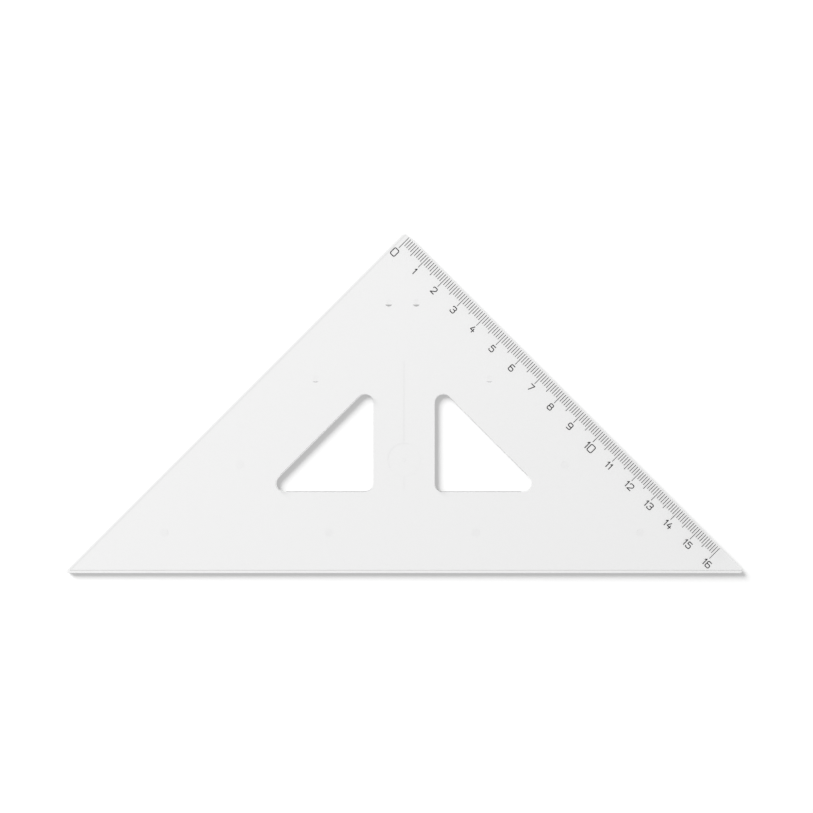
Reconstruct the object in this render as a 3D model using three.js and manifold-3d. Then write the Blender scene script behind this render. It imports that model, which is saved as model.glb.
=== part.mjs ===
// A clear 45 degree set square. One plate is moulded with two windows, ten low feet under it,
// a shallow step below the two edges without a scale, a gate dimple and a centre line.
// A centimetre scale is hot stamped along the other short edge: every mark is a shallow trough
// in the plate, and the foil in the long and middle marks is modelled.
// Lengths are millimetres. X runs along the long edge, Y towards the square corner and Z up.
// The feet stand on Z = 0, and the origin is under the middle of the outline.

import * as THREE from 'three';
import { mergeGeometries, mergeVertices } from 'three/addons/utils/BufferGeometryUtils.js';
import Module from 'manifold-3d';

// Plate
const LEG_LENGTH = 176; // a short edge, between its corners before they are rounded
const PLATE_THICKNESS = 2;
const SHARP_TIP_RADIUS = 0.8;
const SQUARE_TIP_RADIUS = 1.5;
const EDGE_BREAK = 0.06; // the mould's own small bevel round the top edges
const STEP_WIDTH = 0.95; // the step below, which keeps wet ink away from the drawing edges
const STEP_HEIGHT = 0.15;

// Windows
const RIB_WIDTH = 22.4; // between the two windows
const LONG_RAIL_WIDTH = 29.6; // from the long edge to a window
const SHORT_RAIL_WIDTH = 31; // from a short edge to a window
const WINDOW_CORNER_RADIUS = 3;
const WINDOW_DRAFT = 0.1; // how much wider each side of a window is above than below

// Feet: four along each short rail, placed along its edge and across it, and two on the long rail
const FOOT_DIAMETER = 2.9;
const FOOT_HEIGHT = 0.1;
const FEET_OFFSET = 0.48; // the lower half of the mould sits this far to the left
const FOOT_ALONG_LEG_SHARES = [0.1223, 0.3416, 0.5805, 0.7913];
const FOOT_ACROSS_RAIL_SHARES = [0.4644, 0.4904, 0.5876, 0.5253];
const FOOT_RIM_SHARES = [0.35, 0.35, 0.1, 0.1]; // how much of a foot's radius its sloping rim takes
const FOOT_ALONG_BASE_SHARE = 0.2158;
const FOOT_ACROSS_BASE_RAIL_SHARE = 0.4885;
const FOOT_ON_BASE_RIM_SHARE = 0.1;

// Gate dimple and centre line, both in the underside
const GATE_FROM_LONG_EDGE = 41.3;
const GATE_DIMPLE_DIAMETER = 12;
const GATE_DIMPLE_DEPTH = 0.05;
const GATE_STUB_DIAMETER = 1.2;
const GATE_STUB_HEIGHT = 0.04;
const LINE_WIDTH = 0.3;
const LINE_DEPTH = 0.04;
const LINE_START = 30; // both ends are measured from the long edge
const LINE_END = 77.4;

// Scale
const MARK_PITCH = 1;
const SCALE_START = 3; // from the square corner to the zero mark
const SCALE_END_ROOM = 12.5; // at least this much edge is left past the last mark
const MARK_WIDTH = 0.25;
const MARK_FROM_EDGE = 0.3;
const SHORT_MARK_LENGTH = 3.35;
const MIDDLE_MARK_LENGTH = 4.3;
const LONG_MARK_LENGTH = 5.3;
const STAMP_DEPTH = 0.1;
const FOIL_THICKNESS = 0.06;
const FOIL_CLEARANCE = 0.01;

// Counts and the one overrun that every cut and join shares
const MARKS_IN_CENTIMETRE = 10;
const MARKS_IN_HALF = 5;
const TIP_STEPS = 6;
const ROUND_SIDES = 24;
const OVERRUN = 0.5;

// Worked out from the sizes above
const underside = FOOT_HEIGHT;
const topFace = FOOT_HEIGHT + PLATE_THICKNESS;
const height = LEG_LENGTH * Math.SQRT1_2; // of the triangle, over its long edge
const halfBase = height;
const centimetre = MARK_PITCH * MARKS_IN_CENTIMETRE;
const centimetres = Math.floor((LEG_LENGTH - SCALE_START - SCALE_END_ROOM) / centimetre);

const wasm = await Module();
wasm.setup();

const clearPolystyrene = new THREE.MeshStandardMaterial({
  name: 'clear_polystyrene',
  color: 0xeceff0,
  roughness: 0.06,
  metalness: 0,
  transparent: true,
  opacity: 0.4,
});

const blackFoil = new THREE.MeshStandardMaterial({
  name: 'black_foil',
  color: 0x1c1b1d,
  roughness: 0.55,
  metalness: 0,
});

// Makes a solid that can be joined and cut from a closed geometry.
function solidFrom(geometry) {
  const bare = geometry.clone();
  bare.deleteAttribute('normal');
  bare.deleteAttribute('uv');
  const merged = mergeVertices(bare);
  const index = merged.index.array;
  const triangles = [];
  for (let i = 0; i < index.length; i += 3) {
    const [a, b, c] = index.slice(i, i + 3);
    if (a !== b && b !== c && c !== a) {
      triangles.push(a, b, c);
    }
  }
  return new wasm.Manifold(new wasm.Mesh({
    numProp: 3,
    vertProperties: new Float32Array(merged.attributes.position.array),
    triVerts: new Uint32Array(triangles),
  }));
}

// Gives a solid's surface back as a geometry.
function geometryFrom(solid) {
  const surface = solid.getMesh();
  const geometry = new THREE.BufferGeometry();
  const positions = new Float32Array(surface.vertProperties);
  geometry.setAttribute('position', new THREE.BufferAttribute(positions, 3));
  geometry.setIndex(new THREE.BufferAttribute(new Uint32Array(surface.triVerts), 1));
  geometry.computeVertexNormals();
  return geometry;
}

// Moves each side of a convex outline, drawn anticlockwise, inward by one distance.
// A negative distance moves it outward.
function inset(corners, distance) {
  return corners.map((corner, i) => {
    const before = corners[(i + corners.length - 1) % corners.length];
    const after = corners[(i + 1) % corners.length];
    const back = before.clone().sub(corner).normalize();
    const on = after.clone().sub(corner).normalize();
    const halfAngle = Math.acos(back.dot(on)) / 2;
    return back.add(on).setLength(distance / Math.sin(halfAngle)).add(corner);
  });
}

// Rounds every corner of a convex outline, drawn anticlockwise, with an arc of its own radius.
function rounded(corners, radii) {
  return corners.flatMap((corner, i) => {
    const before = corners[(i + corners.length - 1) % corners.length];
    const after = corners[(i + 1) % corners.length];
    const back = before.clone().sub(corner).normalize();
    const on = after.clone().sub(corner).normalize();
    const halfAngle = Math.acos(back.dot(on)) / 2;
    const centre = back.clone().add(on).setLength(radii[i] / Math.sin(halfAngle)).add(corner);
    const start = back.setLength(radii[i] / Math.tan(halfAngle)).add(corner).sub(centre).angle();
    const sweep = Math.PI - 2 * halfAngle;
    return Array.from({ length: TIP_STEPS + 1 }, (_, step) => {
      const angle = start + sweep * step / TIP_STEPS;
      return new THREE.Vector2(Math.cos(angle), Math.sin(angle)).multiplyScalar(radii[i]).add(centre);
    });
  });
}

// The plate's outline with its sides moved inward by one distance.
function plateOutline(distance) {
  const corners = [
    new THREE.Vector2(-halfBase, 0),
    new THREE.Vector2(halfBase, 0),
    new THREE.Vector2(0, height),
  ];
  const radii = [SHARP_TIP_RADIUS, SHARP_TIP_RADIUS, SQUARE_TIP_RADIUS]
    .map((radius) => radius - distance);
  return rounded(inset(corners, distance), radii);
}

// One window's outline with its sides moved outward by one distance.
// side is 1 to the right of the rib and -1 to the left.
function windowOutline(side, distance) {
  const ribSide = RIB_WIDTH / 2;
  const reach = height - SHORT_RAIL_WIDTH * Math.SQRT2; // where the slanted side would meet either axis
  const corners = [
    new THREE.Vector2(ribSide, LONG_RAIL_WIDTH),
    new THREE.Vector2(reach - LONG_RAIL_WIDTH, LONG_RAIL_WIDTH),
    new THREE.Vector2(ribSide, reach - ribSide),
  ];
  const radii = corners.map(() => WINDOW_CORNER_RADIUS + distance);
  const outline = rounded(inset(corners, -distance), radii);
  // A hole runs clockwise. The mirrored one does by itself.
  return side > 0 ? outline.reverse() : outline.map((point) => new THREE.Vector2(-point.x, point.y));
}

// Closes a stack of levels, lowest first, into one body.
// Each level has the same loops: an outline and its holes.
function stackedBody(levels) {
  const positions = levels.flatMap(({ z, loops }) => (
    loops.flat().flatMap((point) => [point.x, point.y, z])
  ));
  const [outline, ...holes] = levels[0].loops;
  const perLevel = levels[0].loops.flat().length;
  const top = perLevel * (levels.length - 1);
  const triangles = THREE.ShapeUtils.triangulateShape(outline, holes).flatMap(([a, b, c]) => [
    c, b, a,
    top + a, top + b, top + c,
  ]);
  for (let low = 0; low < top; low += perLevel) {
    let first = low;
    for (const loop of levels[0].loops) {
      for (let i = 0; i < loop.length; i += 1) {
        const here = first + i;
        const next = first + (i + 1) % loop.length;
        triangles.push(here, next, next + perLevel);
        triangles.push(here, next + perLevel, here + perLevel);
      }
      first += loop.length;
    }
  }
  const geometry = new THREE.BufferGeometry();
  geometry.setAttribute('position', new THREE.Float32BufferAttribute(positions, 3));
  geometry.setIndex(triangles);
  return geometry;
}

// The plain plate, with drafted windows and broken top edges.
function plateBlank() {
  const draftAt = (z) => WINDOW_DRAFT * (z - underside) / PLATE_THICKNESS;
  const level = (z, outlineInset, windowBreak) => ({
    z,
    loops: [
      plateOutline(outlineInset),
      windowOutline(-1, draftAt(z) + windowBreak),
      windowOutline(1, draftAt(z) + windowBreak),
    ],
  });
  return stackedBody([
    level(underside, 0, 0),
    level(topFace - EDGE_BREAK, 0, 0),
    level(topFace, EDGE_BREAK, EDGE_BREAK),
  ]);
}

// What the steps below the long edge and the plain short edge take away.
function edgeSteps() {
  const step = (edgeLength) => {
    const width = STEP_WIDTH + OVERRUN;
    const depth = STEP_HEIGHT + OVERRUN;
    return new THREE.BoxGeometry(edgeLength + 2 * OVERRUN, width, depth)
      .translate(0, STEP_WIDTH - width / 2, underside + STEP_HEIGHT - depth / 2);
  };
  const alongPlainEdge = step(LEG_LENGTH)
    .rotateZ(-Math.PI * 3 / 4)
    .translate(-halfBase / 2, height / 2, 0);
  return [step(2 * halfBase), alongPlainEdge];
}

// An upright turned solid. The profile is given as distances from its axis and heights.
function turned(profile, x, y) {
  const points = profile.map(([radius, z]) => new THREE.Vector2(radius, z));
  return new THREE.LatheGeometry(points, ROUND_SIDES).rotateX(Math.PI / 2).translate(x, y, 0);
}

// A moulded foot with a sloping rim, let into the plate by the overrun.
function foot(x, y, rimShare) {
  const radius = FOOT_DIAMETER / 2;
  const root = underside + OVERRUN;
  const profile = [[0, 0], [radius * (1 - rimShare), 0], [radius, underside], [radius, root], [0, root]];
  return turned(profile, x, y);
}

// All ten feet, in pairs to both sides of the mould's own middle.
function feetBelow() {
  const right = FOOT_ALONG_LEG_SHARES.map((share, i) => {
    const along = share * LEG_LENGTH;
    const across = FOOT_ACROSS_RAIL_SHARES[i] * SHORT_RAIL_WIDTH;
    return {
      x: (along - across) * Math.SQRT1_2,
      y: height - (along + across) * Math.SQRT1_2,
      rimShare: FOOT_RIM_SHARES[i],
    };
  });
  right.push({
    x: FOOT_ALONG_BASE_SHARE * halfBase,
    y: FOOT_ACROSS_BASE_RAIL_SHARE * LONG_RAIL_WIDTH,
    rimShare: FOOT_ON_BASE_RIM_SHARE,
  });
  return right.flatMap(({ x, y, rimShare }) => [
    foot(x - FEET_OFFSET, y, rimShare),
    foot(-x - FEET_OFFSET, y, rimShare),
  ]);
}

// The shallow round dimple in the underside, which leaves room round what is left of the gate.
function gateDimple() {
  const radius = GATE_DIMPLE_DIAMETER / 2;
  const stubRadius = GATE_STUB_DIAMETER / 2;
  const ceiling = underside + GATE_DIMPLE_DEPTH;
  const profile = [
    [0, underside - OVERRUN],
    [radius, underside - OVERRUN],
    [radius, ceiling],
    [stubRadius, ceiling],
    [stubRadius, ceiling - GATE_STUB_HEIGHT],
    [0, ceiling - GATE_STUB_HEIGHT],
  ];
  return turned(profile, 0, GATE_FROM_LONG_EDGE);
}

// The centre line as two shallow grooves, which run out into the dimple between them.
function centreLine() {
  const gap = GATE_DIMPLE_DIAMETER / 2 - OVERRUN;
  const spans = [
    [LINE_START, GATE_FROM_LONG_EDGE - gap],
    [GATE_FROM_LONG_EDGE + gap, LINE_END],
  ];
  return spans.map(([from, to]) => (
    new THREE.BoxGeometry(LINE_WIDTH, to - from, LINE_DEPTH + OVERRUN)
      .translate(0, (from + to) / 2, underside + LINE_DEPTH - (LINE_DEPTH + OVERRUN) / 2)
  ));
}

// The scale's own frame: X along the short edge from the square corner, Y outward across it.
const scaleFrame = new THREE.Group();
scaleFrame.position.set(0, height, 0);
scaleFrame.rotation.z = -Math.PI / 4;
scaleFrame.updateMatrix();

// Every mark of the scale: its number in millimetres and its length.
const marks = Array.from({ length: centimetres * MARKS_IN_CENTIMETRE + 1 }, (_, number) => {
  if (number % MARKS_IN_CENTIMETRE === 0) {
    return { number, length: LONG_MARK_LENGTH };
  }
  return { number, length: number % MARKS_IN_HALF === 0 ? MIDDLE_MARK_LENGTH : SHORT_MARK_LENGTH };
});

// The middle of a mark, in the scale's frame.
function markMiddle({ number, length }) {
  return [SCALE_START + number * MARK_PITCH, -(MARK_FROM_EDGE + length / 2)];
}

// The trough that the stamp leaves for one mark.
function markTrough(mark) {
  const [x, y] = markMiddle(mark);
  return new THREE.BoxGeometry(MARK_WIDTH, mark.length, STAMP_DEPTH + OVERRUN)
    .translate(x, y, topFace - STAMP_DEPTH + (STAMP_DEPTH + OVERRUN) / 2)
    .applyMatrix4(scaleFrame.matrix);
}

// The bar of foil that lies in the trough of one mark.
function foilBar(mark, name) {
  const [x, y] = markMiddle(mark);
  const width = MARK_WIDTH - 2 * FOIL_CLEARANCE;
  const length = mark.length - 2 * FOIL_CLEARANCE;
  const bar = new THREE.Mesh(new THREE.BoxGeometry(width, length, FOIL_THICKNESS), blackFoil);
  bar.name = name;
  bar.position.set(x, y, topFace - STAMP_DEPTH + FOIL_THICKNESS / 2);
  return bar;
}

const grooves = mergeGeometries([...centreLine(), ...marks.map(markTrough)]);
const plateSolid = [...edgeSteps(), gateDimple(), grooves]
  .reduce((solid, cut) => solid.subtract(solidFrom(cut)), solidFrom(plateBlank()))
  .add(solidFrom(mergeGeometries(feetBelow())));
const plate = new THREE.Mesh(geometryFrom(plateSolid), clearPolystyrene);
plate.name = 'clear_plate';

for (const mark of marks) {
  const place = Math.floor(mark.number / MARKS_IN_CENTIMETRE).toString().padStart(2, '0');
  if (mark.length === LONG_MARK_LENGTH) {
    scaleFrame.add(foilBar(mark, `centimetre_mark_${place}`));
  } else if (mark.length === MIDDLE_MARK_LENGTH) {
    scaleFrame.add(foilBar(mark, `half_centimetre_mark_${place}`));
  }
}

const setSquare = new THREE.Group();
setSquare.name = 'set_square';
setSquare.add(plate, scaleFrame);
// The rounded square corner ends short of the sharp one, and the origin halves what is left.
setSquare.position.y = -(height - SQUARE_TIP_RADIUS * (Math.SQRT2 - 1)) / 2;

export default setSquare;
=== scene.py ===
"""Dresses a clear 45 degree set square and lays it on a white table under soft light.

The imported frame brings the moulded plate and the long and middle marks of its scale. This script
gives them their finishes and adds what is too fine for the solids: the millimetre marks and the
numerals. Lengths are metres in the frame's own axes, and mm() turns millimetres into them.
"""

from __future__ import annotations

import logging
import math
from dataclasses import dataclass
from enum import Enum
from typing import Any

import bpy
from mathutils import Matrix, Vector
from mathutils.geometry import delaunay_2d_cdt

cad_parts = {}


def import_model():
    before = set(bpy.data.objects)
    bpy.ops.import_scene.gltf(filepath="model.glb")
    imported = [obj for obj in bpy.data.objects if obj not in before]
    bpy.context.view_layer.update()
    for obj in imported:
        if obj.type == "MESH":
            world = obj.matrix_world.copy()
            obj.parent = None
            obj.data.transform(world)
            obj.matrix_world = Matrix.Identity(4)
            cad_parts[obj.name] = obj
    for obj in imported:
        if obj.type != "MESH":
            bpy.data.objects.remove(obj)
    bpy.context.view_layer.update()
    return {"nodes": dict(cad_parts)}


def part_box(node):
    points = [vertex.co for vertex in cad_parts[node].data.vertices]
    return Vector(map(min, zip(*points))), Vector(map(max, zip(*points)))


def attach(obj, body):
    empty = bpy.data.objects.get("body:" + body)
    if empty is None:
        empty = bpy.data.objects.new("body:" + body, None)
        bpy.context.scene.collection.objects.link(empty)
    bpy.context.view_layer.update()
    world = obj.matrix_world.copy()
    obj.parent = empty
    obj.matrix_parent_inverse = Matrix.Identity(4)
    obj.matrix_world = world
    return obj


LOG = logging.getLogger("set_square")

BODY = "root"
PLATE_NODE = "clear_plate"
LONG_MARK_NODES = "centimetre_mark_"
MIDDLE_MARK_NODES = "half_centimetre_mark_"
MARKS_IN_CENTIMETRE = 10
MARKS_IN_HALF = 5
MILLIMETRES_IN_METRE = 1000

MATH = "ShaderNodeMath"
WHITE = "FFFFFF"

Tree = bpy.types.NodeTree
Socket = bpy.types.NodeSocket
Nodes = dict[str, bpy.types.Object]
Point = tuple[float, float]
Polygon = list[Point]


def mm(value: float) -> float:
    """Returns a length of some millimetres in metres."""
    return value / MILLIMETRES_IN_METRE


def linear(colour: str) -> tuple[float, float, float, float]:
    """Turns an sRGB hex colour into the linear colour that shaders take.

    Args:
        colour: Six hex digits, two each for red, green and blue.

    Returns:
        Linear red, green and blue, and an alpha of one.
    """
    brightest = 0xFF
    toe, slope, offset, power = 0.04045, 12.92, 0.055, 2.4
    shares = [int(colour[i : i + 2], 16) / brightest for i in (0, 2, 4)]
    red, green, blue = (
        share / slope if share <= toe else ((share + offset) / (1 + offset)) ** power
        for share in shares
    )
    return red, green, blue, 1.0


class Shading(Enum):
    """Where the output node of a shader tree is."""

    MATERIAL = "ShaderNodeOutputMaterial"
    WORLD = "ShaderNodeOutputWorld"


def add_node(
    tree: Tree,
    kind: str,
    inputs: dict[str | int, Any] | None = None,
    **settings: Any,
) -> bpy.types.Node:
    """Adds one node to a tree, with its settings and its inputs.

    Args:
        tree: The node tree of a material or the world.
        kind: The node's type name.
        inputs: By input name or number, the output socket that feeds it or its plain value.
        **settings: Properties of the node itself, such as operation.

    Returns:
        The new node.
    """
    node = tree.nodes.new(kind)
    for name, setting in settings.items():
        setattr(node, name, setting)
    for name, source in (inputs or {}).items():
        if isinstance(source, Socket):
            tree.links.new(source, node.inputs[name])
        else:
            node.inputs[name].default_value = source
    return node


def empty_tree(owner: bpy.types.Material | bpy.types.World) -> Tree:
    """Gives a material or the world an empty node tree.

    Args:
        owner: The material or the world.

    Returns:
        The tree.
    """
    owner.use_nodes = True
    owner.node_tree.nodes.clear()
    return owner.node_tree


@dataclass(frozen=True)
class RubMark:
    """A painted shadow, grey, at the lower rim of a foot, and the same one at its twin.

    Attributes:
        centre: Middle of the round that it is a segment of, from the mould's own middle line.
        radius: Of that round.
        top: Height of the straight side on the plate, from the origin.
        depth: Share of the light that it takes at its darkest.
    """

    centre: Point
    radius: float
    top: float
    depth: float


@dataclass(frozen=True)
class ClearPolystyrene:
    """General purpose polystyrene, injection moulded in a polished mould.

    Attributes:
        body: Colour that the whole thickness lets through.
        face_share: Share of the lamp's light that each flat face lets through.
        edge_share: Share of it that leaves again through an upright edge.
        flat_from: Upright part of a face's normal from which the face counts as flat.
        edge_top: Height over which a wall is too low to turn light back, as round a mark.
        longest_run: Times that a ray is turned back inside before it just passes out.
        steep_leg: Length of its way from face to face up to which nothing is left of it.
        flat_leg: Length of that way from which all is left.
        outer_corner: Centre of the round of a window's outer corner.
        ior: Index of refraction.
        roughness: Of the polished faces, where they are unworn and where they are most worn.
        wear_range: Where in its cloud the wear starts and where it is worst.
        wear_detail: How many finer clouds lie in that cloud.
        wear_fineness: How strong each of them is, as a share of the one before.
        flow_width: Spacing of the slight waves that cooling leaves in the faces.
        flow_detail: How many finer waves lie in those waves.
        flow_depth: Depth of those waves.
        scratch_spacing: Between the hairline scratches of use.
        scratch_length: Of such a scratch.
        scratch_depth: Depth of a scratch.
        scratch_width: Of a scratch, in shares of the cloud that draws it.
        scratch_turns: Ways that the scratches run, as angles from the long edge.
        rub_marks: Painted shadows, grey, below the upper feet.
        rub_middle: Where the mould's own middle line is.
        rub_softness: Of their rims.
        rub_height: Under which they lie.
        foot_top: Height just under which only the feet reach.
        rim_softening: How steep their rims look, in shares of how steep the solids have them.
    """

    body: str = "FEFEFE"
    face_share: float = 0.85
    edge_share: float = 0.25
    flat_from: float = 0.5
    edge_top: float = mm(1.98)
    longest_run: float = 3.5
    steep_leg: float = mm(3.3)
    flat_leg: float = mm(10)
    outer_corner: Point = (mm(43.76), mm(-29.31))
    ior: float = 1.59
    roughness: tuple[float, float] = (0.02, 0.07)
    wear_range: tuple[float, float] = (0.45, 0.8)
    wear_detail: float = 4.0
    wear_fineness: float = 0.6
    flow_width: float = mm(18)
    flow_detail: float = 1.0
    flow_depth: float = mm(0.002)
    scratch_spacing: float = mm(2.5)
    scratch_length: float = mm(40)
    scratch_depth: float = mm(0.0008)
    scratch_width: float = 0.004
    scratch_turns: tuple[float, ...] = (math.radians(8), math.radians(-37))
    # Painted shadows: grey crescents darkened into the plastic below the two upper pairs of feet.
    rub_marks: tuple[RubMark, ...] = (
        RubMark(centre=(mm(5.04), mm(36.71)), radius=mm(1.62), top=mm(36.1), depth=0.8),
        RubMark(centre=(mm(31.75), mm(8.92)), radius=mm(1.62), top=mm(8.1), depth=0.5),
    )
    rub_middle: float = mm(-0.48)
    rub_softness: float = mm(0.3)
    rub_height: float = mm(0.2)
    foot_top: float = mm(0.099)
    rim_softening: float = 0.7

    def make(self) -> bpy.types.Material:
        """Builds the material.

        Returns:
            A smooth plastic as clear as glass. Its upright walls turn lamp light back as a
            thick clear edge does, which gives the dark line of shadow beside each edge.
        """
        material = bpy.data.materials.new("clear_polystyrene_moulded_and_polished")
        tree = empty_tree(material)
        place = add_node(tree, "ShaderNodeTexCoord").outputs["Object"]
        path = add_node(tree, "ShaderNodeLightPath").outputs
        surface = add_node(
            tree,
            "ShaderNodeBsdfPrincipled",
            {
                "Base Color": self._light_let_through(tree, place),
                "Roughness": self._wear(tree, place),
                "Normal": self._surface(tree, place),
                "IOR": self.ior,
                "Transmission Weight": 1.0,
            },
        )
        # Painted light and shade: a ray trapped inside passes out dark or light by its legs and by
        # where it is.
        way_out = add_node(
            tree,
            "ShaderNodeBsdfTransparent",
            {"Color": self._light_left(tree, place, path["Ray Length"])},
        )
        trapped = add_node(
            tree, MATH, {0: path["Glossy Depth"], 1: self.longest_run}, operation="GREATER_THAN"
        )
        seen = add_node(
            tree,
            "ShaderNodeMixShader",
            {0: trapped.outputs[0], 1: surface.outputs["BSDF"], 2: way_out.outputs["BSDF"]},
        )
        lamp_side = add_node(
            tree, "ShaderNodeBsdfTransparent", {"Color": self._light_that_passes(tree, place)}
        )
        lighting = add_node(
            tree, MATH, {0: path["Is Shadow Ray"], 1: path["Is Diffuse Ray"]}, operation="MAXIMUM"
        )
        mixed = add_node(
            tree,
            "ShaderNodeMixShader",
            {0: lighting.outputs[0], 1: seen.outputs["Shader"], 2: lamp_side.outputs["BSDF"]},
        )
        add_node(tree, Shading.MATERIAL.value, {"Surface": mixed.outputs["Shader"]})
        return material

    def _light_left(self, tree: Tree, place: Socket, leg: Socket) -> Socket:
        """What is left of a ray that has long run to and fro between the faces.

        Painted light and shade: a steep zigzag is left dark, as a look up at a dark ceiling from
        the far edge would be, and a flat one bright, as a look across a bright room would be. The
        round outer corner of a window is painted lighter, where steep rays would fan out to the
        light, as a ray does that comes to an upright wall.

        Args:
            tree: The material's node tree.
            place: Coordinates on the plate.
            leg: Length of its way from face to face.

        Returns:
            A socket with the share of light.
        """
        far_look = add_node(
            tree,
            "ShaderNodeMapRange",
            {"Value": leg, "From Min": self.steep_leg, "From Max": self.flat_leg},
        ).outputs["Result"]
        spot = add_node(tree, "ShaderNodeSeparateXYZ", {"Vector": place}).outputs
        x, y = self.outer_corner
        mirrored = add_node(tree, MATH, {0: spot["X"]}, operation="ABSOLUTE").outputs[0]
        beside = add_node(tree, MATH, {0: mirrored, 1: x}, operation="GREATER_THAN").outputs[0]
        slanted = add_node(
            tree, MATH, {0: mirrored, 1: spot["Y"]}, operation="SUBTRACT"
        ).outputs[0]
        below = add_node(tree, MATH, {0: slanted, 1: x - y}, operation="GREATER_THAN").outputs[0]
        past = add_node(tree, MATH, {0: beside, 1: below}, operation="MULTIPLY").outputs[0]
        steep = add_node(tree, MATH, {0: leg, 1: self.steep_leg}, operation="LESS_THAN").outputs[0]
        fanned = add_node(tree, MATH, {0: past, 1: steep}, operation="MULTIPLY").outputs[0]
        face = self._on_face(tree)
        at_wall = add_node(tree, MATH, {0: 1.0, 1: face}, operation="SUBTRACT").outputs[0]
        found = add_node(tree, MATH, {0: fanned, 1: at_wall}, operation="MAXIMUM").outputs[0]
        return add_node(tree, MATH, {0: far_look, 1: found}, operation="MAXIMUM").outputs[0]

    def _on_face(self, tree: Tree) -> Socket:
        """Tells the plate's flat faces from its upright walls.

        Args:
            tree: The material's node tree.

        Returns:
            A socket with one on a flat face, and zero on an upright wall.
        """
        geometry = add_node(tree, "ShaderNodeNewGeometry").outputs
        normal = add_node(tree, "ShaderNodeSeparateXYZ", {"Vector": geometry["True Normal"]})
        rise = add_node(tree, MATH, {0: normal.outputs["Z"]}, operation="ABSOLUTE").outputs[0]
        return add_node(
            tree, MATH, {0: rise, 1: self.flat_from}, operation="GREATER_THAN"
        ).outputs[0]

    def _light_let_through(self, tree: Tree, place: Socket) -> Socket:
        """Clear all over, but for the painted shadows, grey, below the upper feet.

        Args:
            tree: The material's node tree.
            place: Coordinates on the plate.

        Returns:
            A socket with the share of light that the plastic lets through.
        """
        spot = add_node(tree, "ShaderNodeSeparateXYZ", {"Vector": place}).outputs
        from_middle = add_node(
            tree, MATH, {0: spot["X"], 1: self.rub_middle}, operation="SUBTRACT"
        ).outputs[0]
        mirrored = add_node(tree, MATH, {0: from_middle}, operation="ABSOLUTE").outputs[0]
        flat_spot = add_node(tree, "ShaderNodeCombineXYZ", {"X": mirrored, "Y": spot["Y"]})
        # Painted shadow: grey segments below the upper feet darken what the underside lets
        # through.
        shaded: Socket | float = 0.0
        for mark in self.rub_marks:
            distance = add_node(
                tree,
                "ShaderNodeVectorMath",
                {0: flat_spot.outputs["Vector"], 1: (*mark.centre, 0.0)},
                operation="DISTANCE",
            )
            inside = self._fading(tree, distance.outputs["Value"], mark.radius)
            below = self._fading(tree, spot["Y"], mark.top)
            segment = add_node(tree, MATH, {0: inside, 1: below}, operation="MULTIPLY").outputs[0]
            shaded = add_node(
                tree, MATH, {0: segment, 1: mark.depth, 2: shaded}, operation="MULTIPLY_ADD"
            ).outputs[0]
        underside = add_node(
            tree, MATH, {0: spot["Z"], 1: self.rub_height}, operation="LESS_THAN"
        ).outputs[0]
        taken = add_node(tree, MATH, {0: shaded, 1: underside}, operation="MULTIPLY").outputs[0]
        return add_node(
            tree,
            "ShaderNodeMapRange",
            {"Value": taken, "To Min": linear(self.body)[0], "To Max": 0.0},
        ).outputs["Result"]

    def _fading(self, tree: Tree, length: Socket, limit: float) -> Socket:
        """Tells where a length is under its limit, with a soft rim.

        Args:
            tree: The material's node tree.
            length: The length.
            limit: Its limit.

        Returns:
            A socket with one where the length is well under the limit, which fades to zero at it.
        """
        return add_node(
            tree,
            "ShaderNodeMapRange",
            {"Value": length, "From Min": limit, "From Max": limit - self.rub_softness},
        ).outputs["Result"]

    def _wear(self, tree: Tree, place: Socket) -> Socket:
        """Roughness that rises a little where fingers and paper rub the faces.

        Args:
            tree: The material's node tree.
            place: Coordinates on the plate.

        Returns:
            A socket with the roughness.
        """
        cloud = add_node(
            tree,
            "ShaderNodeTexNoise",
            {
                "Vector": place,
                "Scale": 1 / self.flow_width,
                "Detail": self.wear_detail,
                "Roughness": self.wear_fineness,
            },
        )
        starts, worst = self.wear_range
        unworn, worn = self.roughness
        return add_node(
            tree,
            "ShaderNodeMapRange",
            {
                "Value": cloud.outputs["Fac"],
                "From Min": starts,
                "From Max": worst,
                "To Min": unworn,
                "To Max": worn,
            },
        ).outputs["Result"]

    def _surface(self, tree: Tree, place: Socket) -> Socket:
        """Normals of a moulded face: long shallow waves with hairline scratches in them.

        Args:
            tree: The material's node tree.
            place: Coordinates on the plate.

        Returns:
            A socket with the normal, which is less steep on the rims of the feet.
        """
        waves = add_node(
            tree,
            "ShaderNodeTexNoise",
            {"Vector": place, "Scale": 1 / self.flow_width, "Detail": self.flow_detail},
        )
        normal = add_node(
            tree,
            "ShaderNodeBump",
            {"Height": waves.outputs["Fac"], "Strength": 1.0, "Distance": self.flow_depth},
        ).outputs["Normal"]
        for turn in self.scratch_turns:
            normal = add_node(
                tree,
                "ShaderNodeBump",
                {
                    "Height": self._hairlines(tree, place, turn),
                    "Normal": normal,
                    "Strength": 1.0,
                    "Distance": self.scratch_depth,
                },
                invert=True,
            ).outputs["Normal"]
        spot = add_node(tree, "ShaderNodeSeparateXYZ", {"Vector": place}).outputs
        foot = add_node(
            tree, MATH, {0: spot["Z"], 1: self.foot_top}, operation="LESS_THAN"
        ).outputs[0]
        steepness = add_node(
            tree,
            "ShaderNodeMapRange",
            {"Value": foot, "To Min": 1.0, "To Max": self.rim_softening},
        ).outputs["Result"]
        scale = add_node(
            tree, "ShaderNodeCombineXYZ", {"X": steepness, "Y": steepness, "Z": 1.0}
        ).outputs["Vector"]
        softened = add_node(
            tree, "ShaderNodeVectorMath", {0: normal, 1: scale}, operation="MULTIPLY"
        ).outputs["Vector"]
        return add_node(
            tree, "ShaderNodeVectorMath", {0: softened}, operation="NORMALIZE"
        ).outputs["Vector"]

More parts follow.
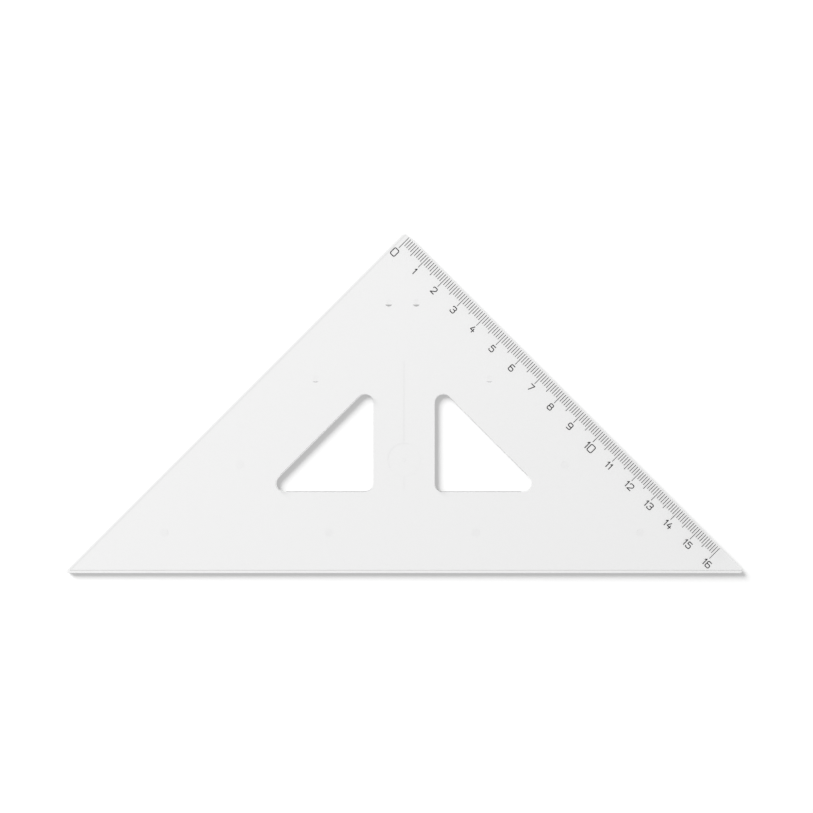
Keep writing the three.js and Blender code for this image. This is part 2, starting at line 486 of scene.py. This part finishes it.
    def _hairlines(self, tree: Tree, place: Socket, turn: float) -> Socket:
        """Draws hairline scratches where a stretched cloud crosses its middle.

        Args:
            tree: The material's node tree.
            place: Coordinates on the plate.
            turn: Which way the scratches run, as an angle from the long edge.

        Returns:
            A socket with one where a scratch runs, and zero beside it.
        """
        stretched = add_node(
            tree,
            "ShaderNodeMapping",
            {
                "Vector": place,
                "Rotation": (0.0, 0.0, turn),
                "Scale": (self.scratch_length, self.scratch_spacing, 1.0),
            },
            vector_type="TEXTURE",
        )
        cloud = add_node(
            tree,
            "ShaderNodeTexNoise",
            {"Vector": stretched.outputs["Vector"], "Scale": 1.0, "Detail": 0.0},
        )
        middle = 0.5
        return add_node(
            tree,
            MATH,
            {0: cloud.outputs["Fac"], 1: middle, 2: self.scratch_width},
            operation="COMPARE",
        ).outputs[0]

    def _light_that_passes(self, tree: Tree, place: Socket) -> Socket:
        """Share of the light on its way to the table that a face lets through.

        Light that should leave through an upright edge is mostly turned back inside the plate.
        At a flat face, and at an edge that the light comes in by, nearly all of it passes.

        Args:
            tree: The material's node tree.
            place: Coordinates on the plate.

        Returns:
            A socket with the share.
        """
        entering = add_node(tree, "ShaderNodeNewGeometry").outputs["Backfacing"]
        spot = add_node(tree, "ShaderNodeSeparateXYZ", {"Vector": place}).outputs
        high = add_node(
            tree, MATH, {0: spot["Z"], 1: self.edge_top}, operation="GREATER_THAN"
        ).outputs[0]
        face = self._on_face(tree)
        flat_or_high = add_node(tree, MATH, {0: face, 1: high}, operation="MAXIMUM").outputs[0]
        passes = add_node(tree, MATH, {0: flat_or_high, 1: entering}, operation="MAXIMUM")
        return add_node(
            tree,
            "ShaderNodeMapRange",
            {"Value": passes.outputs[0], "To Min": self.edge_share, "To Max": self.face_share},
        ).outputs["Result"]


@dataclass(frozen=True)
class HotStampFoil:
    """Black pigment foil, pressed into the plastic with a hot brass die.

    Attributes:
        body: Colour where the foil is whole.
        thin: Colour where it is thin and a little plastic shows.
        thinning: Where in its mottling the foil starts to thin and where it is thinnest.
        ior: Index of refraction of its lacquer.
        roughness: Of the face that the die leaves, at the two ends of the mottling.
        grain: Size of the mottling.
        grain_detail: How many finer mottlings lie in it.
        grain_fineness: How strong each of them is, as a share of the one before.
        depth: Depth of the mottling.
        press: How strongly that depth shows.
    """

    body: str = "161517"
    thin: str = "2C2B2D"
    thinning: tuple[float, float] = (0.5, 0.8)
    ior: float = 1.5
    roughness: tuple[float, float] = (0.4, 0.65)
    grain: float = mm(0.12)
    grain_detail: float = 3.0
    grain_fineness: float = 0.6
    depth: float = mm(0.004)
    press: float = 0.4

    def make(self) -> bpy.types.Material:
        """Builds the material.

        Returns:
            A dull black that mottles to dark grey where the die pressed less.
        """
        material = bpy.data.materials.new("black_foil_hot_stamped")
        tree = empty_tree(material)
        place = add_node(tree, "ShaderNodeTexCoord").outputs["Object"]
        mottle = add_node(
            tree,
            "ShaderNodeTexNoise",
            {
                "Vector": place,
                "Scale": 1 / self.grain,
                "Detail": self.grain_detail,
                "Roughness": self.grain_fineness,
            },
        ).outputs["Fac"]
        colour = add_node(tree, "ShaderNodeValToRGB", {"Fac": mottle})
        whole, worn = colour.color_ramp.elements
        whole.position, worn.position = self.thinning
        whole.color, worn.color = linear(self.body), linear(self.thin)
        low, high = self.roughness
        roughness = add_node(
            tree, "ShaderNodeMapRange", {"Value": mottle, "To Min": low, "To Max": high}
        )
        pressed = add_node(
            tree,
            "ShaderNodeBump",
            {"Height": mottle, "Strength": self.press, "Distance": self.depth},
        )
        surface = add_node(
            tree,
            "ShaderNodeBsdfPrincipled",
            {
                "Base Color": colour.outputs["Color"],
                "Roughness": roughness.outputs["Result"],
                "Normal": pressed.outputs["Normal"],
                "IOR": self.ior,
            },
        )
        add_node(tree, Shading.MATERIAL.value, {"Surface": surface.outputs["BSDF"]})
        return material


@dataclass(frozen=True)
class WhiteCard:
    """Matt white card, evenly lit from behind the camera, as a studio table has.

    Attributes:
        body: Colour of the card.
        lift: How much brighter than its own light the camera sees it, with one as white.
        near: Distance from its middle up to which that holds.
        far: Distance from which it is seen white by itself, where it runs up into the backdrop.
        roughness: Of its surface.
    """

    body: str = "E6E6E6"
    lift: float = 0.225
    near: float = 0.35
    far: float = 1.2
    roughness: float = 0.9

    def make(self) -> bpy.types.Material:
        """Builds the material.

        Returns:
            White card that keeps the shadows on it but never looks grey beyond them.
        """
        material = bpy.data.materials.new("white_card_matt")
        tree = empty_tree(material)
        card = add_node(
            tree,
            "ShaderNodeBsdfPrincipled",
            {
                "Base Color": linear(self.body),
                "Roughness": self.roughness,
                "Specular IOR Level": 0.0,
            },
        )
        place = add_node(tree, "ShaderNodeTexCoord").outputs["Object"]
        away = add_node(tree, "ShaderNodeVectorMath", {0: place}, operation="LENGTH")
        lift = add_node(
            tree,
            "ShaderNodeMapRange",
            {
                "Value": away.outputs["Value"],
                "From Min": self.near,
                "From Max": self.far,
                "To Min": self.lift,
            },
        )
        glow = add_node(
            tree,
            "ShaderNodeEmission",
            {"Color": linear(WHITE), "Strength": seen_only(tree, lift.outputs["Result"])},
        )
        both = add_node(
            tree,
            "ShaderNodeAddShader",
            {0: card.outputs["BSDF"], 1: glow.outputs["Emission"]},
        )
        add_node(tree, Shading.MATERIAL.value, {"Surface": both.outputs["Shader"]})
        return material


def seen_only(tree: Tree, strength: Socket | float) -> Socket:
    """Gives a strength to what is seen, straight or by mirror or glass, and none to light.

    Args:
        tree: The node tree that it is for.
        strength: The strength that is seen.

    Returns:
        A socket with the strength for such rays, and zero for all others.
    """
    path = add_node(tree, "ShaderNodeLightPath").outputs
    mirrored = add_node(
        tree,
        MATH,
        {0: path["Is Glossy Ray"], 1: path["Is Transmission Ray"]},
        operation="MAXIMUM",
    ).outputs[0]
    seen = add_node(
        tree, MATH, {0: path["Is Camera Ray"], 1: mirrored}, operation="MAXIMUM"
    ).outputs[0]
    # A ray that the table has scattered gathers light, also where it then goes through glass.
    unscattered = add_node(
        tree, MATH, {0: path["Diffuse Depth"], 1: 1.0}, operation="LESS_THAN"
    ).outputs[0]
    counted = add_node(tree, MATH, {0: seen, 1: unscattered}, operation="MULTIPLY").outputs[0]
    return add_node(tree, MATH, {0: counted, 1: strength}, operation="MULTIPLY").outputs[0]


@dataclass
class ScaleFrame:
    """The scale's own frame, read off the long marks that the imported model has.

    Attributes:
        zero: Middle of the outer end of the zero mark.
        along: One pitch along the graduated edge, from each mark to the next.
        outward: Unit vector across it, towards the edge.
        low: Height of the foil's lower face.
        high: Height of its upper face.
        mark_width: Width of a foil bar.
        count: Number of pitches from the first mark to the last.
    """

    zero: Vector
    along: Vector
    outward: Vector
    low: float
    high: float
    mark_width: float
    count: int

    @classmethod
    def from_marks(cls, nodes: Nodes) -> ScaleFrame:
        """Reads the frame off the first and last centimetre marks.

        Args:
            nodes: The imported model's nodes by name.

        Returns:
            The scale's frame.
        """
        names = sorted(name for name in nodes if name.startswith(LONG_MARK_NODES))
        first, last = (
            [corner.co.copy() for corner in nodes[name].data.vertices]
            for name in (names[0], names[-1])
        )
        start, end = (sum(points, Vector()) / len(points) for points in (first, last))
        pitches = (len(names) - 1) * MARKS_IN_CENTIMETRE
        along = (end - start) / pitches
        outward = Vector((0, 0, 1)).cross(along).normalized()
        across = [(point - start).dot(outward) for point in first]
        wide = [(point - start).dot(along.normalized()) for point in first]
        heights = [point.z for point in first]
        zero = start + outward * max(across)
        return cls(
            zero=Vector((zero.x, zero.y, 0)),
            along=Vector((along.x, along.y, 0)),
            outward=outward,
            low=min(heights),
            high=max(heights),
            mark_width=max(wide) - min(wide),
            count=pitches,
        )

    def matrix(self, pitches: float, inward: float) -> Matrix:
        """Places a flat shape on the scale, with its X along it and its Y outward.

        Args:
            pitches: How far along the scale its origin is, in pitches from zero.
            inward: How far inward of the marks' outer ends its origin is.

        Returns:
            The shape's placing.
        """
        origin = self.zero + self.along * pitches - self.outward * inward
        x_axis = self.along.normalized()
        turn = Matrix((x_axis, self.outward, Vector((0, 0, 1)))).transposed().to_4x4()
        return Matrix.Translation(origin) @ turn


def arc(centre: Point, radius: float, start: float, sweep: float, steps: int) -> Polygon:
    """Draws an arc.

    Args:
        centre: Of its circle.
        radius: Of its circle.
        start: Angle of its first point.
        sweep: Angle from there to its last point.
        steps: Number of straight steps that it is made of.

    Returns:
        Its points, both ends included.
    """
    return [
        (
            centre[0] + radius * math.cos(start + sweep * step / steps),
            centre[1] + radius * math.sin(start + sweep * step / steps),
        )
        for step in range(steps + 1)
    ]


def extruded(name: str, polygons: list[Polygon], low: float, high: float) -> bpy.types.Mesh:
    """Joins flat polygons that may overlap, and gives the union a thickness.

    Args:
        name: Name of the mesh.
        polygons: Flat outlines, each anticlockwise.
        low: Height of the lower face.
        high: Height of the upper face.

    Returns:
        A closed mesh with outward faces.
    """
    # In millimetres, because in metres the triangulation takes the smallest turns for points.
    corners = [Vector(point) / mm(1) for polygon in polygons for point in polygon]
    faces, start = [], 0
    for polygon in polygons:
        faces.append(list(range(start, start + len(polygon))))
        start += len(polygon)
    tolerance, whole_hull = 0.0002, 0
    flat, _, parts, _, _, covers = delaunay_2d_cdt(corners, [], faces, whole_hull, tolerance)
    triangles = [part for part, cover in zip(parts, covers, strict=True) if cover]
    size = len(flat)
    points = [(mm(p.x), mm(p.y), z) for z in (low, high) for p in flat]
    upper = [[size + i for i in triangle] for triangle in triangles]
    lower = [list(reversed(triangle)) for triangle in triangles]
    edges = dict.fromkeys(
        (a, b) for t in triangles for a, b in zip(t, [*t[1:], t[0]], strict=True)
    )
    walls = [[a, b, size + b, size + a] for a, b in edges if (b, a) not in edges]
    mesh = bpy.data.meshes.new(name)
    mesh.from_pydata(points, [], [*upper, *lower, *walls])
    mesh.validate()
    return mesh


@dataclass(frozen=True)
class Stroke:
    """One stroke of a digit, as the engraver's cutter runs.

    Attributes:
        points: Where it turns, in shares of the digit's width and height.
        closed: Whether it ends where it starts.
        tight: Points, by number, that stay sharp.
    """

    points: tuple[Point, ...]
    closed: bool = False
    tight: tuple[int, ...] = ()


DIGITS: dict[str, tuple[Stroke, ...]] = {
    "0": (Stroke(((0, 0), (1, 0), (1, 1), (0, 1)), closed=True),),
    "1": (Stroke(((0, 0.76), (1, 1), (1, 0)), tight=(1,)),),
    "2": (Stroke(((0, 0.8), (0, 1), (1, 1), (1, 0.58), (0, 0), (1, 0)), tight=(4,)),),
    "3": (
        Stroke(((0, 0.85), (0, 1), (1, 1), (1, 0.54), (0.4, 0.54))),
        Stroke(((0.55, 0.54), (1, 0.54), (1, 0), (0, 0), (0, 0.16))),
    ),
    "4": (
        Stroke(((0.5, 1), (0, 0.33), (1, 0.33)), tight=(1,)),
        Stroke(((0.7, 0.62), (0.7, 0))),
    ),
    "5": (
        Stroke(((0.92, 1), (0.08, 1), (0.04, 0.58)), tight=(1,)),
        Stroke(((0.04, 0.58), (1, 0.62), (1, 0), (0, 0), (0, 0.16)), tight=(0,)),
    ),
    "6": (
        Stroke(((0, 0), (1, 0), (1, 0.56), (0, 0.56)), closed=True),
        Stroke(((0, 0.3), (0, 1), (0.86, 1))),
    ),
    "7": (Stroke(((0, 1), (1, 1), (0.36, 0)), tight=(1,)),),
    "8": (
        Stroke(((0, 0), (1, 0), (1, 0.54), (0, 0.54)), closed=True),
        Stroke(((0.05, 0.54), (0.95, 0.54), (0.95, 1), (0.05, 1)), closed=True),
    ),
    "9": (
        Stroke(((0, 0.44), (1, 0.44), (1, 1), (0, 1)), closed=True),
        Stroke(((1, 0.7), (1, 0), (0.1, 0))),
    ),
}
NARROW_DIGITS = {"1"}


@dataclass(frozen=True)
class DigitStyle:
    """Sizes of an engraved digit, measured to the middle of its stroke.

    Attributes:
        width: Between the outer strokes.
        narrow_width: The same for a one, from its flag to its stem.
        height: Between the top and bottom strokes.
        stroke: Thickness of the stroke.
        corner: Radius of a turn.
        turn_steps: Steps in a turn.
        end_steps: Steps round an open end.
    """

    width: float
    narrow_width: float
    height: float
    stroke: float
    corner: float
    turn_steps: int = 6
    end_steps: int = 12

    def outer_width(self, digit: str) -> float:
        """Returns a digit's width over its strokes."""
        return self._reach(digit) + self.stroke

    def _reach(self, digit: str) -> float:
        """Returns a digit's width between the middles of its outer strokes."""
        return self.narrow_width if digit in NARROW_DIGITS else self.width

    def polygons(self, digit: str, left: float) -> list[Polygon]:
        """Draws one digit as overlapping flat pieces.

        Args:
            digit: Which digit.
            left: Where its left side is. Its top lies on Y = 0.

        Returns:
            Anticlockwise outlines whose union is the digit.
        """
        half = self.stroke / 2
        drawn = []
        for stroke in DIGITS[digit]:
            points = [
                Vector((left + half + x * self._reach(digit), (y - 1) * self.height - half))
                for x, y in stroke.points
            ]
            for run in self._runs(points, stroke):
                drawn += self._ribbon(run, stroke.closed)
        return drawn

    def _runs(self, points: list[Vector], stroke: Stroke) -> list[list[Vector]]:
        """Rounds the turns of a stroke, and parts it where it has a sharp one.

        Args:
            points: Where the stroke turns.
            stroke: The stroke itself.

        Returns:
            The smooth runs between its ends and its sharp turns.
        """
        path: list[Vector] = []
        runs = [path]
        count = len(points)
        ends = set() if stroke.closed else {0, count - 1}
        sharp = ends | set(stroke.tight)
        for i, point in enumerate(points):
            if i in sharp:
                path.append(point)
                if i not in ends:
                    path = [point]
                    runs.append(path)
                continue
            before, after = (i - 1) % count, (i + 1) % count
            back, on = points[before] - point, points[after] - point
            half_angle = back.angle(on) / 2
            # Two round turns share the line between them. A sharp one needs none of it.
            reach = min(
                self.corner / math.tan(half_angle),
                back.length / (1 if before in sharp else 2),
                on.length / (1 if after in sharp else 2),
            )
            radius = reach * math.tan(half_angle)
            bisector = (back.normalized() + on.normalized()).normalized()
            centre = point + bisector * radius / math.sin(half_angle)
            first = point + back.normalized() * reach - centre
            sweep = math.pi - 2 * half_angle
            if back.cross(on) > 0:
                sweep = -sweep
            start = math.atan2(first.y, first.x)
            path += [Vector(p) for p in arc(centre[:], radius, start, sweep, self.turn_steps)]
        return runs

    def _ribbon(self, run: list[Vector], closed: bool) -> list[Polygon]:
        """Gives a run its thickness.

        Args:
            run: Its points.
            closed: Whether the last one leads on to the first.

        Returns:
            One quad for each step, which share their corners, and a round at each open end.
        """
        half = self.stroke / 2
        least = mm(0.001)
        path = [
            point
            for i, point in enumerate(run)
            if (point - run[i - 1]).length > least or (i == 0 and not closed)
        ]
        ahead = [(b - a).normalized() for a, b in zip(path, path[1:] + path[:1], strict=True)]
        behind = ahead[-1:] + ahead[:-1]
        if not closed:
            ahead[-1], behind[0] = behind[-1], ahead[0]
        left, right = [], []
        for point, back, on in zip(path, behind, ahead, strict=True):
            mean = (back.orthogonal() + on.orthogonal()) / 2
            side = mean * half / mean.length_squared
            left.append((point + side)[:])
            right.append((point - side)[:])
        pieces = [
            [left[i - 1], right[i - 1], right[i], left[i]]
            for i in range(0 if closed else 1, len(path))
        ]
        if not closed:
            for end in (path[0], path[-1]):
                pieces.append(arc(end[:], half, 0.0, math.tau, self.end_steps)[:-1])
        return pieces


@dataclass
class Plate:
    """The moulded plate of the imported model.

    Attributes:
        plastic: Its finish.
    """

    plastic: ClearPolystyrene

    def dress(self, nodes: Nodes) -> None:
        """Gives the plate its finish.

        Args:
            nodes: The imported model's nodes by name.
        """
        plate = nodes[PLATE_NODE]
        finish(plate, self.plastic.make())
        LOG.info("%s: clear plastic on %d faces", plate.name, len(plate.data.polygons))


@dataclass
class StampedScale:
    """The hot stamped scale: its foil bars and numerals.

    Attributes:
        foil: Its finish.
        short_length: Length of a millimetre mark's foil.
        bar_corner: Radius of its corners.
        bar_corner_steps: Steps in such a corner.
        small: Style of the ordinary numerals.
        large: Style of the numerals that are stamped larger.
        large_numbers: Which those are.
        numeral_top: From the marks' outer ends to the top of the numerals.
        pair_lead: How far a two digit number starts before its mark.
        large_pair_lead: The same for a large one.
        digit_gap: Between two digits.
        proud: How far the numerals' foil stands over the plate's face.
        slot: Name of a slot for the finish. It is not used.
    """

    foil: HotStampFoil
    short_length: float = mm(3.33)
    bar_corner: float = mm(0.06)
    bar_corner_steps: int = 3
    small: DigitStyle = DigitStyle(
        width=mm(1.62), narrow_width=mm(0.5), height=mm(2.28), stroke=mm(0.355), corner=mm(0.42)
    )
    large: DigitStyle = DigitStyle(
        width=mm(2.04), narrow_width=mm(0.5), height=mm(2.8), stroke=mm(0.36), corner=mm(0.5)
    )
    large_numbers: tuple[int, ...] = (0, 10)
    numeral_top: float = mm(5.82)
    pair_lead: float = mm(1.05)
    large_pair_lead: float = mm(1.3)
    digit_gap: float = mm(0.52)
    proud: float = mm(0.005)
    slot: str = "black_foil"

    def build(self, nodes: Nodes) -> None:
        """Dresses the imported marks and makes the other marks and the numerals.

        Args:
            nodes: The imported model's nodes by name.
        """
        material = self.foil.make()
        for name, node in nodes.items():
            if name.startswith((LONG_MARK_NODES, MIDDLE_MARK_NODES)):
                self._cover(node, material)
        scale = ScaleFrame.from_marks(nodes)
        self._add("millimetre_marks", self._short_marks(scale), material)
        plate_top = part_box(PLATE_NODE)[1].z
        for number in range(scale.count // MARKS_IN_CENTIMETRE + 1):
            mesh = self._numeral(number, scale.low, plate_top + self.proud)
            mesh.transform(scale.matrix(number * MARKS_IN_CENTIMETRE, self.numeral_top))
            self._add(f"numeral_{number:02d}", mesh, material)

    def _add(self, name: str, mesh: bpy.types.Mesh, material: bpy.types.Material) -> None:
        """Adds one piece of foil to the model.

        Args:
            name: Name of the piece.
            mesh: Its mesh, in its place.
            material: Its material.
        """
        piece = bpy.data.objects.new(name, mesh)
        bpy.context.scene.collection.objects.link(piece)
        self._cover(piece, material)
        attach(piece, BODY)

    def _cover(self, piece: bpy.types.Object, material: bpy.types.Material) -> None:
        """Gives a piece of foil its finish.

        Args:
            piece: The piece.
            material: Its material.
        """
        finish(piece, material)
        # Light that the plate spreads fills the shadows of such thin strokes: none is to be seen.
        piece.visible_shadow = False
        LOG.info("%s: foil on %d faces", piece.name, len(piece.data.polygons))

    def _short_marks(self, scale: ScaleFrame) -> bpy.types.Mesh:
        """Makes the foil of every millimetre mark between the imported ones.

        Args:
            scale: The scale's frame.

        Returns:
            One mesh with all the bars.
        """
        radius, quarter = self.bar_corner, math.tau / 4
        side = scale.mark_width / 2 - radius
        outer, inner = -radius, radius - self.short_length
        outline: Polygon = []
        for turn, centre in enumerate(
            ((side, outer), (-side, outer), (-side, inner), (side, inner))
        ):
            outline += arc(centre, radius, turn * quarter, quarter, self.bar_corner_steps)
        bars = []
        for number in range(scale.count):
            if number % MARKS_IN_HALF != 0:
                place = scale.matrix(number, 0)
                bars.append([(place @ Vector((x, y, 0)))[:2] for x, y in outline])
        return extruded("millimetre_marks", bars, scale.low, scale.high)

    def _numeral(self, number: int, low: float, high: float) -> bpy.types.Mesh:
        """Makes one number.

        Args:
            number: Which number.
            low: Height of the foil's lower face.
            high: Height of its upper face.

        Returns:
            A mesh whose origin is at its top, in line with the number's mark.
        """
        is_large = number in self.large_numbers
        style = self.large if is_large else self.small
        digits = str(number)
        if len(digits) > 1:
            left = -(self.large_pair_lead if is_large else self.pair_lead)
        else:
            left = -style.outer_width(digits) / 2
        polygons = []
        for digit in digits:
            polygons += style.polygons(digit, left)
            left += style.outer_width(digit) + self.digit_gap
        return extruded(f"numeral_{number:02d}", polygons, low, high)


def finish(piece: bpy.types.Object, material: bpy.types.Material) -> None:
    """Gives a piece one material all over.

    Args:
        piece: The piece.
        material: Its material.
    """
    piece.data.materials.clear()
    piece.data.materials.append(material)


@dataclass
class Studio:
    """The table, the light and the camera.

    Attributes:
        card: Finish of the table.
        table_size: Length of the table's side.
        shot_width: Width of table in the camera's view, at the height of the plate's face.
        camera_height: Of the camera over the plate's face.
        sensor: Width of the camera's sensor.
        aim: Where the camera looks, from the middle of the set square.
        key_azimuth: Angle from +X to the key light, seen from above.
        key_elevation: Angle of the key light over the table.
        key_distance: To the key light.
        key_size: Diameter of the key light.
        key_power: Of the key light.
        ambient: Strength of the light from all round.
        backdrop: Strength at which the camera sees what is past the table.
    """

    card: WhiteCard
    table_size: float = 6.0
    shot_width: float = mm(296.1)
    camera_height: float = 0.4
    sensor: float = mm(36)
    aim: Point = (mm(1.0), mm(-1.3))
    key_azimuth: float = math.radians(138.5)
    key_elevation: float = math.radians(30.3)
    key_distance: float = 3.2
    key_size: float = 1.83
    key_power: float = 200.0
    ambient: float = 0.2
    backdrop: float = 1.0

    def build(self) -> None:
        """Sets up the table, the light and the camera."""
        self._table()
        self._world()
        self._key_light()
        self._camera()
        LOG.info("studio: table, room light, key light and camera")

    def _table(self) -> None:
        """Lays the white table under the set square."""
        half = self.table_size / 2
        corners = [(-half, -half, 0), (half, -half, 0), (half, half, 0), (-half, half, 0)]
        mesh = bpy.data.meshes.new("table")
        mesh.from_pydata(corners, [], [(0, 1, 2, 3)])
        table = bpy.data.objects.new("table", mesh)
        bpy.context.scene.collection.objects.link(table)
        finish(table, self.card.make())

    def _world(self) -> None:
        """Lights the set square from all round, before a white backdrop."""
        world = bpy.data.worlds.new("white_room")
        bpy.context.scene.world = world
        tree = empty_tree(world)
        light, seen = (
            add_node(tree, "ShaderNodeBackground", {"Color": linear(WHITE), "Strength": strength})
            for strength in (self.ambient, self.backdrop)
        )
        mixed = add_node(
            tree,
            "ShaderNodeMixShader",
            {
                0: seen_only(tree, 1.0),
                1: light.outputs["Background"],
                2: seen.outputs["Background"],
            },
        )
        add_node(tree, Shading.WORLD.value, {"Surface": mixed.outputs["Shader"]})

    def _key_light(self) -> None:
        """Hangs one large soft lamp up to the left, above the square corner."""
        direction = Vector(
            (
                math.cos(self.key_azimuth) * math.cos(self.key_elevation),
                math.sin(self.key_azimuth) * math.cos(self.key_elevation),
                math.sin(self.key_elevation),
            )
        )
        lamp = bpy.data.lights.new("key_light", "AREA")
        lamp.shape = "DISK"
        lamp.size = self.key_size
        lamp.energy = self.key_power
        key = bpy.data.objects.new("key_light", lamp)
        key.location = direction * self.key_distance
        key.rotation_euler = direction.to_track_quat("Z", "Y").to_euler()
        # As through crossed polarisers: its mirror images would hide the scale in some views.
        key.visible_glossy = False
        key.visible_transmission = False
        bpy.context.scene.collection.objects.link(key)

    def _camera(self) -> None:
        """Puts the camera straight above, with the photograph's framing."""
        lens = bpy.data.cameras.new("camera")
        lens.sensor_width = self.sensor * MILLIMETRES_IN_METRE
        lens.lens = lens.sensor_width * self.camera_height / self.shot_width
        camera = bpy.data.objects.new("camera", lens)
        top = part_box(PLATE_NODE)[1].z
        camera.location = (*self.aim, top + self.camera_height)
        bpy.context.scene.collection.objects.link(camera)
        bpy.context.scene.camera = camera


def main() -> None:
    """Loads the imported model, then dresses it and sets the stage."""
    logging.basicConfig(level=logging.INFO, format="%(name)s: %(message)s")
    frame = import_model()
    bpy.context.scene.view_settings.view_transform = "Standard"
    Plate(ClearPolystyrene()).dress(frame["nodes"])
    StampedScale(HotStampFoil()).build(frame["nodes"])
    Studio(WhiteCard()).build()


if __name__ == "__main__":
    main()
